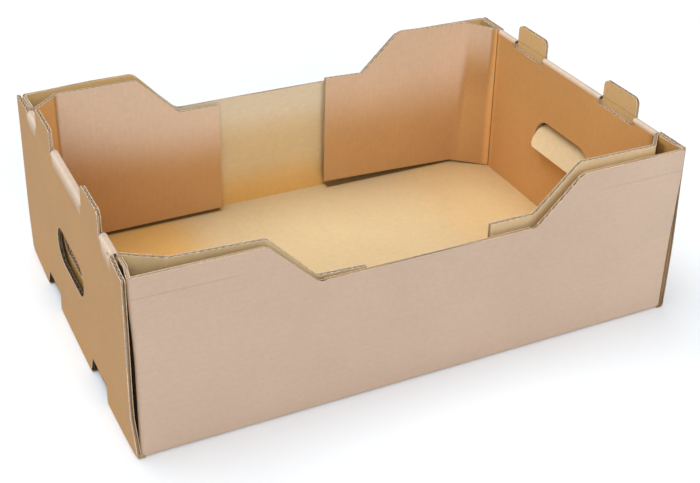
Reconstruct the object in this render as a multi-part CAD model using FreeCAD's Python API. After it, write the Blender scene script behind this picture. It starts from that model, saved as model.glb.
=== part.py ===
import FreeCAD, Part
import math
import os

# A stacking tray folded from one die-cut sheet of corrugated board.
# Frame: +X along the length, +Z up, origin at the centre of the underside, millimetres.
# The ends lie at -X and +X. Each end wall rolls over at its top into an inner end panel,
# which carries two slanted corner posts and two side flaps along the long walls.

# The tray as a whole
length = 600.0
width = 400.0
wall_height = 196.0
board = 4.0
glue_line = 0.4

# Folds: outer radius of a right-angled bend, and the two radii of a corner post's bend
fold_radius = 3.8
post_fold_inner = 2.0
post_fold_outer = 6.0

# The dip in the top edge of each long wall and side flap
dip_height = 147.0
dip_half_length = 119.0
slope_run = 50.0
slope_head_round = 9.0
slope_foot_round = 6.0

# The flaps that make the corners
glue_flap_width = 37.0
side_flap_gap = 7.5
post_run = 29.5
side_flap_end = 68.0
side_flap_lift = 5.0

# The lower edge of the inner end panel, above the base
end_panel_lift = 3.0
lock_tab_foot = 0.4
lock_tab_width = 57.0

# The stacking tabs on the ends, and the slots that they leave in the rolled edge
tab_offset = 87.0
tab_width = 58.0
tab_height = 21.0
tab_corner = 7.0
tab_slot_side_gap = 1.5
tab_slot_depth = 9.0
tab_slot_corner = 3.0

# The stacking notches at the foot of the ends
notch_width = 60.0
notch_height = 18.0
notch_slope_run = 12.0

# The hand holes, and the flaps that stay hinged at their upper edges
hand_hole_length = 100.0
hand_hole_height = 41.0
inner_hole_margin = 3.0
inner_hole_trim = 4.5
hand_flap_gap = 0.6
hand_flap_hinge_gap = 0.3
hand_flap_trim = 5.5
left_hand_flap_angle = 22.0
right_hand_flap_angle = 34.0

# Places worked out from the sizes above
end_inner_face = length / 2 - board
liner_outer_face = end_inner_face - glue_line
liner_inner_face = liner_outer_face - board
side_inner_face = width / 2 - board
side_flap_outer_face = side_inner_face - side_flap_gap
side_flap_inner_face = side_flap_outer_face - board
end_panel_half_width = side_flap_inner_face - post_run
hand_hole_middle = wall_height / 2
hand_hole_top = hand_hole_middle + hand_hole_height / 2
overlap = 1.0


def box(low, high):
    """A box between two opposite corners, given in any order along each axis."""
    corners = [sorted(pair) for pair in zip(low, high)]
    size = [pair[1] - pair[0] for pair in corners]
    return Part.makeBox(*size, FreeCAD.Vector(*[pair[0] for pair in corners]))


def prism(points, direction):
    """A closed outline of straight sides, pushed along a direction."""
    corners = [FreeCAD.Vector(*point) for point in points]
    outline = Part.makePolygon(corners + corners[:1])
    return Part.Face(outline).extrude(FreeCAD.Vector(*direction))


def near(value, target):
    return abs(value - target) < 1e-3


def runs_along(edge, axis):
    """True for an edge whose middle differs from both its ends along one axis only."""
    if len(edge.Vertexes) < 2:
        return False
    step = edge.Vertexes[1].Point - edge.Vertexes[0].Point
    return all(near(step[i], 0) for i in range(3) if i != axis)


def round_edges(shape, radius, chosen):
    """The shape with a fillet on each edge that the test chooses."""
    return shape.makeFillet(radius, [edge for edge in shape.Edges if chosen(edge)])


def long_oval(low_x, high_x, span, height, middle_z):
    """A plate along X with the outline of a slot: straight above and below, round at both ends."""
    plate = box((low_x, -span / 2, middle_z - height / 2), (high_x, span / 2, middle_z + height / 2))
    radius = 0.499 * min(height, span)
    return round_edges(plate, radius, lambda edge: runs_along(edge, 0))


def dip_cutter():
    """The space above the dip of a long wall, right across the tray."""
    reach = width
    slope_head = dip_half_length + slope_run
    rise = wall_height - dip_height
    above = wall_height + rise
    half_outline = [
        (dip_half_length, dip_height), (slope_head, wall_height),
        (slope_head + slope_run, wall_height), (slope_head + slope_run, above),
    ]
    right = [(x, -reach / 2, z) for x, z in half_outline]
    left = [(-x, -reach / 2, z) for x, z in reversed(half_outline)]
    cutter = prism(right + left, (0, reach, 0))
    cutter = round_edges(
        cutter, slope_foot_round,
        lambda edge: runs_along(edge, 1) and near(edge.CenterOfMass.z, dip_height))
    return round_edges(
        cutter, slope_head_round,
        lambda edge: runs_along(edge, 1) and near(edge.CenterOfMass.z, wall_height)
        and near(abs(edge.CenterOfMass.x), slope_head))


def base_and_long_walls():
    """The base and the two long walls: a U section with rounded folds, along the tray."""
    outer, inner = width / 2, side_inner_face
    section = [
        (-outer, 0), (outer, 0), (outer, wall_height), (inner, wall_height),
        (inner, board), (-inner, board), (-inner, wall_height), (-outer, wall_height),
    ]
    points = [(-liner_outer_face, y, z) for y, z in section]
    walls = prism(points, (2 * liner_outer_face, 0, 0))
    return round_edges(
        walls, fold_radius,
        lambda edge: runs_along(edge, 0) and near(edge.CenterOfMass.z, 0))


def glue_flap(end, side):
    """A long wall's end, folded in behind the end wall, which it is glued to."""
    tip = width / 2 - glue_flap_width
    return box(
        (end * liner_inner_face, side * tip, board + glue_line),
        (end * liner_outer_face, side * (width / 2), wall_height))


def corner_fold_cutter(end, side):
    """What rounds the upright fold between a long wall and its glue flap."""
    x, y = end * liner_outer_face, side * width / 2
    axis_x, axis_y = x - end * fold_radius, y - side * fold_radius
    block = box((axis_x, axis_y, -overlap), (x + end * overlap, y + side * overlap, wall_height + overlap))
    post = Part.makeCylinder(
        fold_radius, wall_height + 4 * overlap, FreeCAD.Vector(axis_x, axis_y, -2 * overlap))
    return block.cut(post)


def end_wall(end):
    """An end wall, folded up from the base, with a strip that reaches the base."""
    wall = box((end * end_inner_face, -width / 2, 0), (end * length / 2, width / 2, wall_height))
    wall = round_edges(
        wall, fold_radius,
        lambda edge: runs_along(edge, 1) and near(edge.CenterOfMass.z, 0)
        and near(edge.CenterOfMass.x, end * length / 2))
    strip = box(
        (end * (liner_outer_face - overlap), -side_inner_face, 0),
        (end * (end_inner_face + overlap), side_inner_face, board))
    rolled_part = box(
        (end * end_inner_face, -end_panel_half_width, wall_height - board),
        (end * length / 2, end_panel_half_width, wall_height))
    return wall.fuse(strip).cut(rolled_part)


def notch_cutter(end, middle_y):
    """A stacking notch: upright at its +Y side, sloping at its -Y side, through the fold."""
    low_y, high_y = middle_y - notch_width / 2, middle_y + notch_width / 2
    outline = [
        (low_y, -overlap), (high_y, -overlap), (high_y, notch_height),
        (low_y + notch_slope_run, notch_height), (low_y, 0),
    ]
    points = [(end * (liner_outer_face + glue_line / 2), y, z) for y, z in outline]
    notch = prism(points, (end * (2 * board), 0, 0))
    slot = box(
        (end * liner_inner_face, low_y, -overlap),
        (end * length / 2, high_y, board + glue_line / 2))
    return notch.fuse(slot)


def liner_plan(end):
    """Plan of the inner panel, its two corner posts and its two side flaps."""
    mitre = board * math.tan(math.radians(22.5))
    post_x = liner_inner_face - post_run
    inner_half = [
        (side_flap_end, side_flap_inner_face),
        (post_x, side_flap_inner_face),
        (liner_inner_face, end_panel_half_width),
    ]
    outer_half = [
        (liner_outer_face, end_panel_half_width + mitre),
        (post_x + mitre, side_flap_outer_face),
        (side_flap_end, side_flap_outer_face),
    ]
    back = outer_half + inner_half
    front = [(x, -y) for x, y in reversed(back)]
    return [(end * x, y) for x, y in back + front]


def is_post_fold(edge, inner):
    """True for an upright edge at a corner post's bend, on the inner or the outer side."""
    if not runs_along(edge, 2):
        return False
    x, y = abs(edge.CenterOfMass.x), abs(edge.CenterOfMass.y)
    mitre = board * math.tan(math.radians(22.5))
    post_x = liner_inner_face - post_run
    if inner:
        places = [(post_x, side_flap_inner_face), (liner_inner_face, end_panel_half_width)]
    else:
        places = [
            (post_x + mitre, side_flap_outer_face),
            (liner_outer_face, end_panel_half_width + mitre),
        ]
    return any(near(x, place[0]) and near(y, place[1]) for place in places)


def liner(end):
    """The inner end panel with its posts and side flaps, hanging clear of the base."""
    floor = board + side_flap_lift
    points = [(x, y, floor) for x, y in liner_plan(end)]
    panels = prism(points, (0, 0, wall_height - floor))
    panels = round_edges(panels, post_fold_inner, lambda edge: is_post_fold(edge, True))
    panels = round_edges(panels, post_fold_outer, lambda edge: is_post_fold(edge, False))
    inner_x, outer_x = end * liner_inner_face, end * liner_outer_face
    half = end_panel_half_width
    skirt_half = half - post_fold_inner
    skirt = box((inner_x, -skirt_half, board + end_panel_lift), (outer_x, skirt_half, floor + overlap))
    rolled_part = box(
        (end * (liner_inner_face - overlap), -half, wall_height - board),
        (end * (liner_outer_face + overlap), half, wall_height + overlap))
    panels = panels.fuse(skirt).cut(rolled_part)
    for side in (-1, 1):
        lock_tab = box(
            (inner_x, side * tab_offset - lock_tab_width / 2, lock_tab_foot),
            (outer_x, side * tab_offset + lock_tab_width / 2, floor + overlap))
        panels = panels.fuse(lock_tab)
    return panels


def rolled_edge(end):
    """The double fold on top of an end, from the end wall over to the inner panel."""
    half = end_panel_half_width
    edge = box(
        (end * liner_inner_face, -half, wall_height - board),
        (end * length / 2, half, wall_height))
    return round_edges(
        edge, fold_radius,
        lambda line: runs_along(line, 1) and near(line.CenterOfMass.z, wall_height))


def tab_slot_cutter(end, side):
    """The slot that a stacking tab leaves in the rolled edge and the inner panel."""
    half = tab_width / 2 + tab_slot_side_gap
    cutter = box(
        (end * (liner_inner_face - overlap), side * tab_offset - half, wall_height - tab_slot_depth),
        (end * end_inner_face, side * tab_offset + half, wall_height + overlap))
    return round_edges(
        cutter, tab_slot_corner,
        lambda edge: runs_along(edge, 0) and edge.CenterOfMass.z < wall_height)


def stacking_tab(end, side):
    """A tab that stands up in the plane of the end wall."""
    tab = box(
        (end * end_inner_face, side * tab_offset - tab_width / 2, wall_height - board - overlap),
        (end * length / 2, side * tab_offset + tab_width / 2, wall_height + tab_height))
    return round_edges(
        tab, tab_corner,
        lambda edge: runs_along(edge, 0) and edge.CenterOfMass.z > wall_height)


def outer_hand_hole(end):
    """The hand hole through an end wall."""
    inner, outer = end_inner_face - glue_line / 2, length / 2 + overlap
    low, high = sorted((end * inner, end * outer))
    return long_oval(low, high, hand_hole_length, hand_hole_height, hand_hole_middle)


def inner_hand_hole(end):
    """The larger hole through the inner end panel, which lets the flap swing in just above its foot."""
    inner, outer = liner_inner_face - overlap, liner_outer_face + glue_line / 2
    low, high = sorted((end * inner, end * outer))
    margin = 2 * inner_hole_margin
    hole = long_oval(low, high, hand_hole_length + margin, hand_hole_height + margin, hand_hole_middle)
    foot = hand_hole_middle - hand_hole_height / 2
    return hole.cut(box(
        (low, -hand_hole_length, foot - margin),
        (high, hand_hole_length, foot + inner_hole_trim)))


def hand_flap(end, angle):
    """The flap of a hand hole, hinged at the hole's upper edge and pushed inwards by an angle."""
    flap_height = hand_hole_height - hand_flap_hinge_gap - hand_flap_gap
    flap_length = hand_hole_length - 2 * hand_flap_gap
    top = hand_hole_top - hand_flap_hinge_gap
    low, high = sorted((end * end_inner_face, end * length / 2))
    flap = long_oval(low, high, flap_length, flap_height, top - flap_height / 2)
    flap = flap.cut(box(
        (low - overlap, -flap_length, top - flap_height - overlap),
        (high + overlap, flap_length, top - flap_height + hand_flap_trim)))
    hinge = FreeCAD.Vector(end * end_inner_face, 0, top)
    flap.rotate(hinge, FreeCAD.Vector(0, 1, 0), end * angle)
    return flap


def folded_tray():
    """The whole folded sheet but for the two hand flaps, as one solid."""
    tray = base_and_long_walls()
    for end in (-1, 1):
        for side in (-1, 1):
            tray = tray.fuse(glue_flap(end, side)).cut(corner_fold_cutter(end, side))
    tray = tray.fuse([end_wall(-1), end_wall(1)])
    for end in (-1, 1):
        for side in (-1, 1):
            tray = tray.cut(notch_cutter(end, side * tab_offset))
    for end in (-1, 1):
        tray = tray.fuse([liner(end), rolled_edge(end)])
    tray = tray.cut(dip_cutter())
    for end in (-1, 1):
        for side in (-1, 1):
            tray = tray.cut(tab_slot_cutter(end, side))
            tray = tray.fuse(stacking_tab(end, side))
        tray = tray.cut([outer_hand_hole(end), inner_hand_hole(end)])
    return tray.removeSplitter()


def save(shape, node):
    """Write one node, and say how many solids it has and how large they are."""
    box_of = shape.BoundBox
    print(node, "solids", len(shape.Solids), "valid", shape.isValid(),
          "volume cm3 %.1f" % (shape.Volume / 1000),
          "size %.1f %.1f %.1f" % (box_of.XLength, box_of.YLength, box_of.ZLength))
    shape.exportStep("parts/" + node + ".step")


def main():
    os.makedirs("parts", exist_ok=True)
    save(folded_tray(), "folded_tray")
    save(hand_flap(-1, left_hand_flap_angle), "left_hand_flap")
    save(hand_flap(1, right_hand_flap_angle), "right_hand_flap")


main()
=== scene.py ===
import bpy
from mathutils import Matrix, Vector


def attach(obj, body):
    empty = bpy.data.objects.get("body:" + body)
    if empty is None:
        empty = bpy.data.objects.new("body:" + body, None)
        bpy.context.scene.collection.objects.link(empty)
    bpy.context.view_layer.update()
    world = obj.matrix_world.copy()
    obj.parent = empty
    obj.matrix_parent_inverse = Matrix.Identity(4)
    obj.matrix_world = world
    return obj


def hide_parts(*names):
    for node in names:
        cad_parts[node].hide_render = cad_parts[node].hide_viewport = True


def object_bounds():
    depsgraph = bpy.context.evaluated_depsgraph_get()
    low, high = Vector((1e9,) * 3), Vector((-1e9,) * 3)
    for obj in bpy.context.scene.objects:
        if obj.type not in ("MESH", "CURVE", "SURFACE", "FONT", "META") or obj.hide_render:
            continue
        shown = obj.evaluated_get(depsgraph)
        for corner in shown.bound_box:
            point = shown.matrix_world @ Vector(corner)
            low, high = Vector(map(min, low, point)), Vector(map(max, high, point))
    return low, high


bl_info = {
    "name": "Folded stacking tray",
    "version": (1, 0, 0),
    "blender": (4, 5, 0),
    "location": "View3D > Sidebar > Tray",
    "description": "An open stacking tray folded from one sheet of corrugated board",
    "category": "Add Mesh",
}

import math

import bpy
import numpy as np
from mathutils import Matrix, Vector

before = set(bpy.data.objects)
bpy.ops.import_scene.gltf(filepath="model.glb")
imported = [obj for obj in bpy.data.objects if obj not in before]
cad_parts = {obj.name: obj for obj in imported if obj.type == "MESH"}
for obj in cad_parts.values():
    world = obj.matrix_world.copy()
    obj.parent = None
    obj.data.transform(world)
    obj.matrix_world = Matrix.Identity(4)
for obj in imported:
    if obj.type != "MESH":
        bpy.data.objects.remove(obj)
cad_low, cad_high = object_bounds()

# All lengths are metres, and a tint is a place from 0 to 4 on its paper's ramp of five shades,
# most of which are painted light and shade.
# Each end and each long wall is worked out once, for the +X end or the -Y wall, and turned half a
# circle about the upright axis for the other one.
MM = 0.001
HALF_LENGTH = cad_high.x
HALF_WIDTH = cad_high.y
TAB_TOP = cad_high.z
BOARD = 4 * MM
WALL_HEIGHT = 196 * MM
ROLL_THICKNESS = 8.4 * MM
GLUE_DEPTH = 4.4 * MM
FOLD_RADIUS = 4.2 * MM
POST_FOLD_RADIUS = 2 * MM
BEND_STEPS = 5

DIP_HEIGHT = 147 * MM
DIP_HALF_LENGTH = 119 * MM
SLOPE_HEAD = 169 * MM
SLOPE_HEAD_ROUND = 9 * MM
SLOPE_FOOT_ROUND = 6 * MM

GLUE_FLAP_END = 163 * MM
SIDE_FLAP_FACE = 184.5 * MM
SIDE_FLAP_END = 68 * MM
POST_FACE = 262.1 * MM
PANEL_HALF_WIDTH = 155 * MM

TAB_OFFSET = 87 * MM
TAB_HALF_WIDTH = 29 * MM
TAB_CORNER = 7 * MM
SLOT_HALF_WIDTH = 30.5 * MM
SLOT_FLOOR = 187 * MM
EDGE_ROW = 1.2 * MM

NOTCH_HALF_WIDTH = 30 * MM
NOTCH_HEIGHT = 18 * MM
NOTCH_SLOPE = 12 * MM

HOLE_MIDDLE = 98 * MM
HOLE_LENGTH = 100 * MM
HOLE_HEIGHT = 41 * MM
INNER_HOLE_MARGIN = 6 * MM
INNER_HOLE_FOOT = 82 * MM
# Room for the flaps' swing, as the panels belly into it.
FLAP_SWING = 3.5 * MM

SCORE_HEIGHT = 173.5 * MM
SCORE_SLOPE = -0.004
SCORE_START = 190 * MM

BOARD_TOP = 4.2 * MM
POST_FOOT = 9 * MM
PANEL_FOOT = 7 * MM
LOCK_TAB_FOOT = 0.5 * MM
LOCK_TAB_HALF_WIDTH = 28.5 * MM

# Steps of the grids: rows of the long walls and base, and points to one wave of the core.
ROW_STEP = 12 * MM
WAVE_POINTS = 8
SHARP_ANGLE = math.radians(40)

# How the crests of the core wander along their length.
CREST_WANDER = 1.3 * MM
CREST_WANDER_LENGTH = 31 * MM
CREST_SLANT = 0.012

# Tints that more than one piece shares: painted shade on the end walls, on the left hand flap and in the
# dark places.
END_WALL_SHADE_TINT = 2.14
LEFT_FLAP_SHADE_TINT = 3.52
SHADED_TINT = 3.7
PAINTED_SHADE_TINT = 4.0

IMAGE_WIDTH = 700
IMAGE_HEIGHT = 483


class TraySizes(bpy.types.PropertyGroup):
    """Sizes of the board and how far the folded sheet has settled out of true."""

    board: bpy.props.FloatProperty(
        name="Board", description="Thickness of the corrugated board",
        default=BOARD, subtype="DISTANCE", unit="LENGTH")
    liner: bpy.props.FloatProperty(
        name="Liner", description="Thickness of each flat face paper",
        default=0.5 * MM, subtype="DISTANCE", unit="LENGTH")
    medium: bpy.props.FloatProperty(
        name="Medium", description="Thickness of the wavy paper in the core",
        default=0.35 * MM, subtype="DISTANCE", unit="LENGTH")
    pitch: bpy.props.FloatProperty(
        name="Flute pitch", description="Length of one wave of the core",
        default=7 * MM, subtype="DISTANCE", unit="LENGTH")
    end_step: bpy.props.FloatProperty(
        name="Step", description="Largest step between points of a face paper",
        default=9 * MM, subtype="DISTANCE", unit="LENGTH")
    left_lean: bpy.props.FloatProperty(
        name="Left lean", description="How far the top of the left end leans in",
        default=2.5 * MM, subtype="DISTANCE", unit="LENGTH")
    right_lean: bpy.props.FloatProperty(
        name="Right lean", description="How far the top of the right end leans in",
        default=2 * MM, subtype="DISTANCE", unit="LENGTH")
    end_bulge: bpy.props.FloatProperty(
        name="End bulge", description="How far an end wall bellies out at mid height",
        default=2 * MM, subtype="DISTANCE", unit="LENGTH")
    panel_bulge: bpy.props.FloatProperty(
        name="Panel bulge", description="How far an inner panel bellies into the tray",
        default=2 * MM, subtype="DISTANCE", unit="LENGTH")
    panel_sag: bpy.props.FloatProperty(
        name="Panel sag", description="How far the foot of the right inner panel hangs lower",
        default=4.5 * MM, subtype="DISTANCE", unit="LENGTH")
    wall_bow: bpy.props.FloatProperty(
        name="Wall bow", description="How far a long wall bows out in its middle",
        default=1.5 * MM, subtype="DISTANCE", unit="LENGTH")


class TrayColours(bpy.types.PropertyGroup):
    """Colours of the papers, with the light and shade painted on them, and of the floor under the tray."""

    outer_plain: bpy.props.FloatVectorProperty(
        name="Outer, plain", description="Face paper outside the long walls",
        default=(0.565, 0.412, 0.308), subtype="COLOR", min=0, max=1)
    # Painted highlight: paler where light falls on the rolled edges and high in the tray, and paler too
    # where a fold has stretched the paper.
    outer_pale: bpy.props.FloatVectorProperty(
        name="Outer, pale", description="The same paper where a fold has stretched it, and high in the tray",
        default=(0.77, 0.61, 0.475), subtype="COLOR", min=0, max=1)
    # Painted light: warmer and darker for the light that falls on the ends and inner panels.
    outer_warm: bpy.props.FloatVectorProperty(
        name="Outer, warm", description="The same paper on the ends and inner panels",
        default=(0.86, 0.495, 0.195), subtype="COLOR", min=0, max=1)
    # Painted shade: darker low in the tray and on the end walls.
    outer_shade: bpy.props.FloatVectorProperty(
        name="Outer, deep", description="The same paper low in the tray",
        default=(0.557, 0.313, 0.128), subtype="COLOR", min=0, max=1)
    # Painted light: brighter for the light that falls on the tabs and hand flaps.
    inner_bright: bpy.props.FloatVectorProperty(
        name="Inner, bright", description="Other face paper on the tabs and hand flaps",
        default=(0.92, 0.65, 0.31), subtype="COLOR", min=0, max=1)
    # Painted light: paler high on the long walls and inner panels.
    inner_pale: bpy.props.FloatVectorProperty(
        name="Inner, pale", description="The same paper high on the long walls",
        default=(0.77, 0.69, 0.53), subtype="COLOR", min=0, max=1)
    inner_plain: bpy.props.FloatVectorProperty(
        name="Inner, plain", description="The same paper on the floor of the tray",
        default=(0.69, 0.53, 0.30), subtype="COLOR", min=0, max=1)
    # Painted shade: darker in the tray's corners and low on its walls.
    inner_shade: bpy.props.FloatVectorProperty(
        name="Inner, deep", description="The same paper in the tray's corners",
        default=(0.73, 0.44, 0.14), subtype="COLOR", min=0, max=1)
    # Painted shade: near black for the deep shade in the folds, notches and holes.
    painted_shade: bpy.props.FloatVectorProperty(
        name="Hidden", description="Either paper in deep shade, in the folds, notches and holes",
        default=(0.06, 0.045, 0.03), subtype="COLOR", min=0, max=1)
    core: bpy.props.FloatVectorProperty(
        name="Core", description="Wavy paper between the faces",
        default=(0.55, 0.41, 0.27), subtype="COLOR", min=0, max=1)
    cut: bpy.props.FloatVectorProperty(
        name="Cut edge", description="Die-cut edge of a face paper",
        default=(0.86, 0.77, 0.65), subtype="COLOR", min=0, max=1)
    floor: bpy.props.FloatVectorProperty(
        name="Floor", description="The pale floor that the tray stands on",
        default=(0.82, 0.86, 0.90), subtype="COLOR", min=0, max=1)


def left_of(heading):
    """Unit vector a quarter turn to the left of each heading angle."""
    return np.stack([-np.sin(heading), np.cos(heading)], -1)


def rounded_path(corners, radii):
    """Straight runs between corners, with each inner corner cut by an arc that is tangent to both runs.

    The arc starts radius x tan(turn / 2) before its corner, and its points are the centre plus
    the radius times a unit vector that turns with the heading. Gives the distance along the
    path, the points, and the unit normals on the left.
    """
    corners = np.asarray(corners, float)
    runs = np.diff(corners, axis=0)
    headings = np.unwrap(np.arctan2(runs[:, 1], runs[:, 0]))
    points, normals = [corners[:1]], [left_of(headings[:1])]
    for corner, radius, before, after in zip(corners[1:-1], radii, headings[:-1], headings[1:]):
        turn = after - before
        side = np.sign(turn)
        angles = before + turn * np.linspace(0, 1, BEND_STEPS + 1)
        back = radius * np.tan(abs(turn) / 2)
        start = corner - back * np.array([np.cos(before), np.sin(before)])
        centre = start + side * radius * left_of(before)
        points.append(centre - side * radius * left_of(angles))
        normals.append(left_of(angles))
    points.append(corners[-1:])
    normals.append(left_of(headings[-1:]))
    points, normals = np.concatenate(points), np.concatenate(normals)
    steps = np.linalg.norm(np.diff(points, axis=0), axis=1)
    return np.concatenate([[0], np.cumsum(steps)]), points, normals


def along(path, distance):
    """Points and unit normals of a path at given distances along it, by linear interpolation."""
    station, points, normals = path
    point = np.stack([np.interp(distance, station, points[:, i]) for i in (0, 1)], -1)
    normal = np.stack([np.interp(distance, station, normals[:, i]) for i in (0, 1)], -1)
    return point, normal / np.linalg.norm(normal, axis=-1, keepdims=True)


def stations(keys, step):
    """The keys in order, with even divisions between them so that no step is longer than given."""
    keys = np.unique(np.round(np.asarray(keys, float), 7))
    parts = [
        np.linspace(a, b, max(1, math.ceil((b - a) / step - 1e-6)) + 1)[:-1]
        for a, b in zip(keys[:-1], keys[1:])
    ]
    return np.concatenate(parts + [keys[-1:]])


def between(values, low, high):
    """The values from low to high, both included."""
    margin = 1e-6
    return values[(values > low - margin) & (values < high + margin)]


def ruled(first, last, shares):
    """Grid of straight lines from one curve to another: first + share x (last - first)."""
    first, last = np.asarray(first, float), np.asarray(last, float)
    return first + np.asarray(shares)[:, None, None] * (last - first)


def pairs(a, b):
    """Two arrays or numbers as one array of coordinate pairs."""
    a, b = np.broadcast_arrays(np.asarray(a, float), np.asarray(b, float))
    return np.stack([a, b], -1)


def round_keys(middle, half, radius):
    """Stations that are dense near a shape's two round corners: middle +- (half - radius + radius x sin)."""
    reach = half - radius + radius * np.sin(np.linspace(0, math.pi / 2, 6))
    return np.concatenate([middle - reach, middle + reach])


def oval_half(across, length, height):
    """Half height of a slot-shaped hole at each place: a straight part between two half circles."""
    radius = height / 2
    beyond = np.clip(np.abs(across) - (length / 2 - radius), 0, radius)
    return np.sqrt(radius ** 2 - beyond ** 2) * (np.abs(across) < length / 2)


DIP_LINE = rounded_path(
    [(0, DIP_HEIGHT), (DIP_HALF_LENGTH, DIP_HEIGHT), (SLOPE_HEAD, WALL_HEIGHT), (HALF_LENGTH, WALL_HEIGHT)],
    [SLOPE_FOOT_ROUND, SLOPE_HEAD_ROUND])


def dip_profile(x):
    """Height of a long wall's top edge at each place along it."""
    return np.interp(np.abs(x), DIP_LINE[1][:, 0], DIP_LINE[1][:, 1])


def dip_side(z):
    """Distance of the dip's slope from the middle of the wall at each height."""
    slope = DIP_LINE[1][1:-1]
    return np.interp(z, slope[:, 1], slope[:, 0])


# The profiles that the sheet is carried along. The core side is always on the left.
PANEL_FACE = HALF_LENGTH - ROLL_THICKNESS
END_PATH = rounded_path(
    [(PANEL_FACE, 0), (HALF_LENGTH, 0), (HALF_LENGTH, TAB_TOP)], [FOLD_RADIUS])
ROLL_START = WALL_HEIGHT - FOLD_RADIUS
ROLL_PATH = rounded_path(
    [(HALF_LENGTH, ROLL_START), (HALF_LENGTH, WALL_HEIGHT), (PANEL_FACE, WALL_HEIGHT),
     (PANEL_FACE, ROLL_START)],
    [FOLD_RADIUS, FOLD_RADIUS])
LINER_PATH = rounded_path(
    [(SIDE_FLAP_END, SIDE_FLAP_FACE), (POST_FACE, SIDE_FLAP_FACE), (PANEL_FACE, PANEL_HALF_WIDTH),
     (PANEL_FACE, -PANEL_HALF_WIDTH), (POST_FACE, -SIDE_FLAP_FACE), (SIDE_FLAP_END, -SIDE_FLAP_FACE)],
    [POST_FOLD_RADIUS] * 4)
GLUE_FACE = HALF_LENGTH - GLUE_DEPTH
WALL_PATH = rounded_path(
    [(-GLUE_FACE, -GLUE_FLAP_END), (-GLUE_FACE, -HALF_WIDTH), (GLUE_FACE, -HALF_WIDTH),
     (GLUE_FACE, -GLUE_FLAP_END)],
    [FOLD_RADIUS, FOLD_RADIUS])
BASE_PATH = rounded_path(
    [(-HALF_WIDTH, FOLD_RADIUS), (-HALF_WIDTH, 0), (HALF_WIDTH, 0), (HALF_WIDTH, FOLD_RADIUS)],
    [FOLD_RADIUS, FOLD_RADIUS])
END_RISE = END_PATH[0][BEND_STEPS + 1] - FOLD_RADIUS
LINER_LENGTH = LINER_PATH[0][-1]
WALL_LENGTH = WALL_PATH[0][-1]
BASE_LENGTH = BASE_PATH[0][-1]

# The width of a corner post, less what its fold takes up.
POST_SPAN = math.hypot(PANEL_FACE - POST_FACE, SIDE_FLAP_FACE - PANEL_HALF_WIDTH) - 1.5 * MM


def hump(share):
    """A smooth belly: 0 at shares 0 and 1, and 1 halfway."""
    return np.sin(np.pi * np.clip(share, 0, 1))


def smoothstep(value):
    """3 t^2 - 2 t^3 of a share held between 0 and 1."""
    t = np.clip(value, 0, 1)
    return t * t * (3 - 2 * t)


def lean(place, sizes):
    """Moves points in along X as the ends lean: by the height, and the cube of the place along the tray."""
    x, z = place[..., 0], place[..., 2]
    amount = np.where(x > 0, sizes.right_lean, sizes.left_lean)
    shift = amount * (z / WALL_HEIGHT) * np.clip(np.abs(x) / HALF_LENGTH, 0, 1) ** 3
    place[..., 0] -= np.sign(x) * shift
    return place


# The front wall reaches outwards at both upper corners, and the right end wall's front side is
# tucked in behind it.
CORNER_TUCK = 3.6 * MM
CORNER_REACH = 3.0 * MM

# The back wall's left shoulder stands a little proud.
SHOULDER_RISE = 2.6 * MM

# The left end wall's foot bulges out over its fold with the base.
FOOT_FLARE = 3.0 * MM

# How far the front and back sides of the left and right end walls stand off their corners.
CORNER_GAPS = {-1: (4.2 * MM, 1.0 * MM), 1: (0.2 * MM, 0.6 * MM)}


def corner_gap(y, turn):
    """How far each upright side of an end wall stands off the fold of the long wall beside it."""
    front, back = CORNER_GAPS[turn]
    reach = smoothstep((np.abs(y) - 120 * MM) / (80 * MM))
    return np.where(y < 0, front, back) * reach


def end_sheet(path, turn, sizes, bulge):
    """Carries a profile in the XZ plane across the tray, and bellies it along X.

    The belly is bulge x sin(pi z / height) x cos(pi y / width), plus what each upright side
    stands off its corner, which grows from nothing at the foot. The left end's foot flares out,
    and the right end's front side is tucked in towards its top.
    """
    def place(distance, across, depth):
        point, normal = along(path, distance)
        x = point[..., 0] + depth * normal[..., 0]
        z = point[..., 1] + depth * normal[..., 1]
        belly = hump(z / ROLL_START) * np.cos(np.pi * across / (2 * HALF_WIDTH))
        x = x + bulge * belly
        y = turn * across
        if path is END_PATH:
            flare = FOOT_FLARE * (turn < 0) * (1 - smoothstep(z / (20 * MM)))
            spread = np.sqrt(np.clip(np.cos(np.pi * across / (2 * HALF_WIDTH)), 0, 1))
            x = x + flare * spread + corner_gap(y, turn) * smoothstep(z / (60 * MM))
        tuck = CORNER_TUCK * (turn > 0) * smoothstep((-y - 160 * MM) / (40 * MM))
        tuck = tuck * smoothstep((z - 60 * MM) / (130 * MM))
        return lean(np.stack([turn * x, y + tuck, z], -1), sizes)
    return place


# How each corner has settled, for the left or right end and the back or front wall: how far the
# fold between post and side flap stands outwards along the tray at its top and at its foot, and
# inwards across it; how far the flap's free end stands nearer to its own end, and inwards; and
# how far the fold and the free end rise.
CORNERS = {
    (-1, 1): (-2.5, -3.5, 0.5, 3, 0, 0, 0.5),
    (-1, -1): (-8, -8, 7, -1, -6.5, 0, 0),
    (1, 1): (-1, -14, 0, -1.5, -0.5, 3, 10),
    (1, -1): (6, 6, 4, 6, 4, 3, 4.5),
}


def settled(turn, side):
    """The seven lengths of CORNERS at each point, from its end and the sign of its place across the tray."""
    back = np.array(CORNERS[(turn, 1)])
    front = np.array(CORNERS[(turn, -1)])
    chosen = np.where(side[..., None] > 0, back, front) * MM
    return np.moveaxis(chosen, -1, 0)


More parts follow.
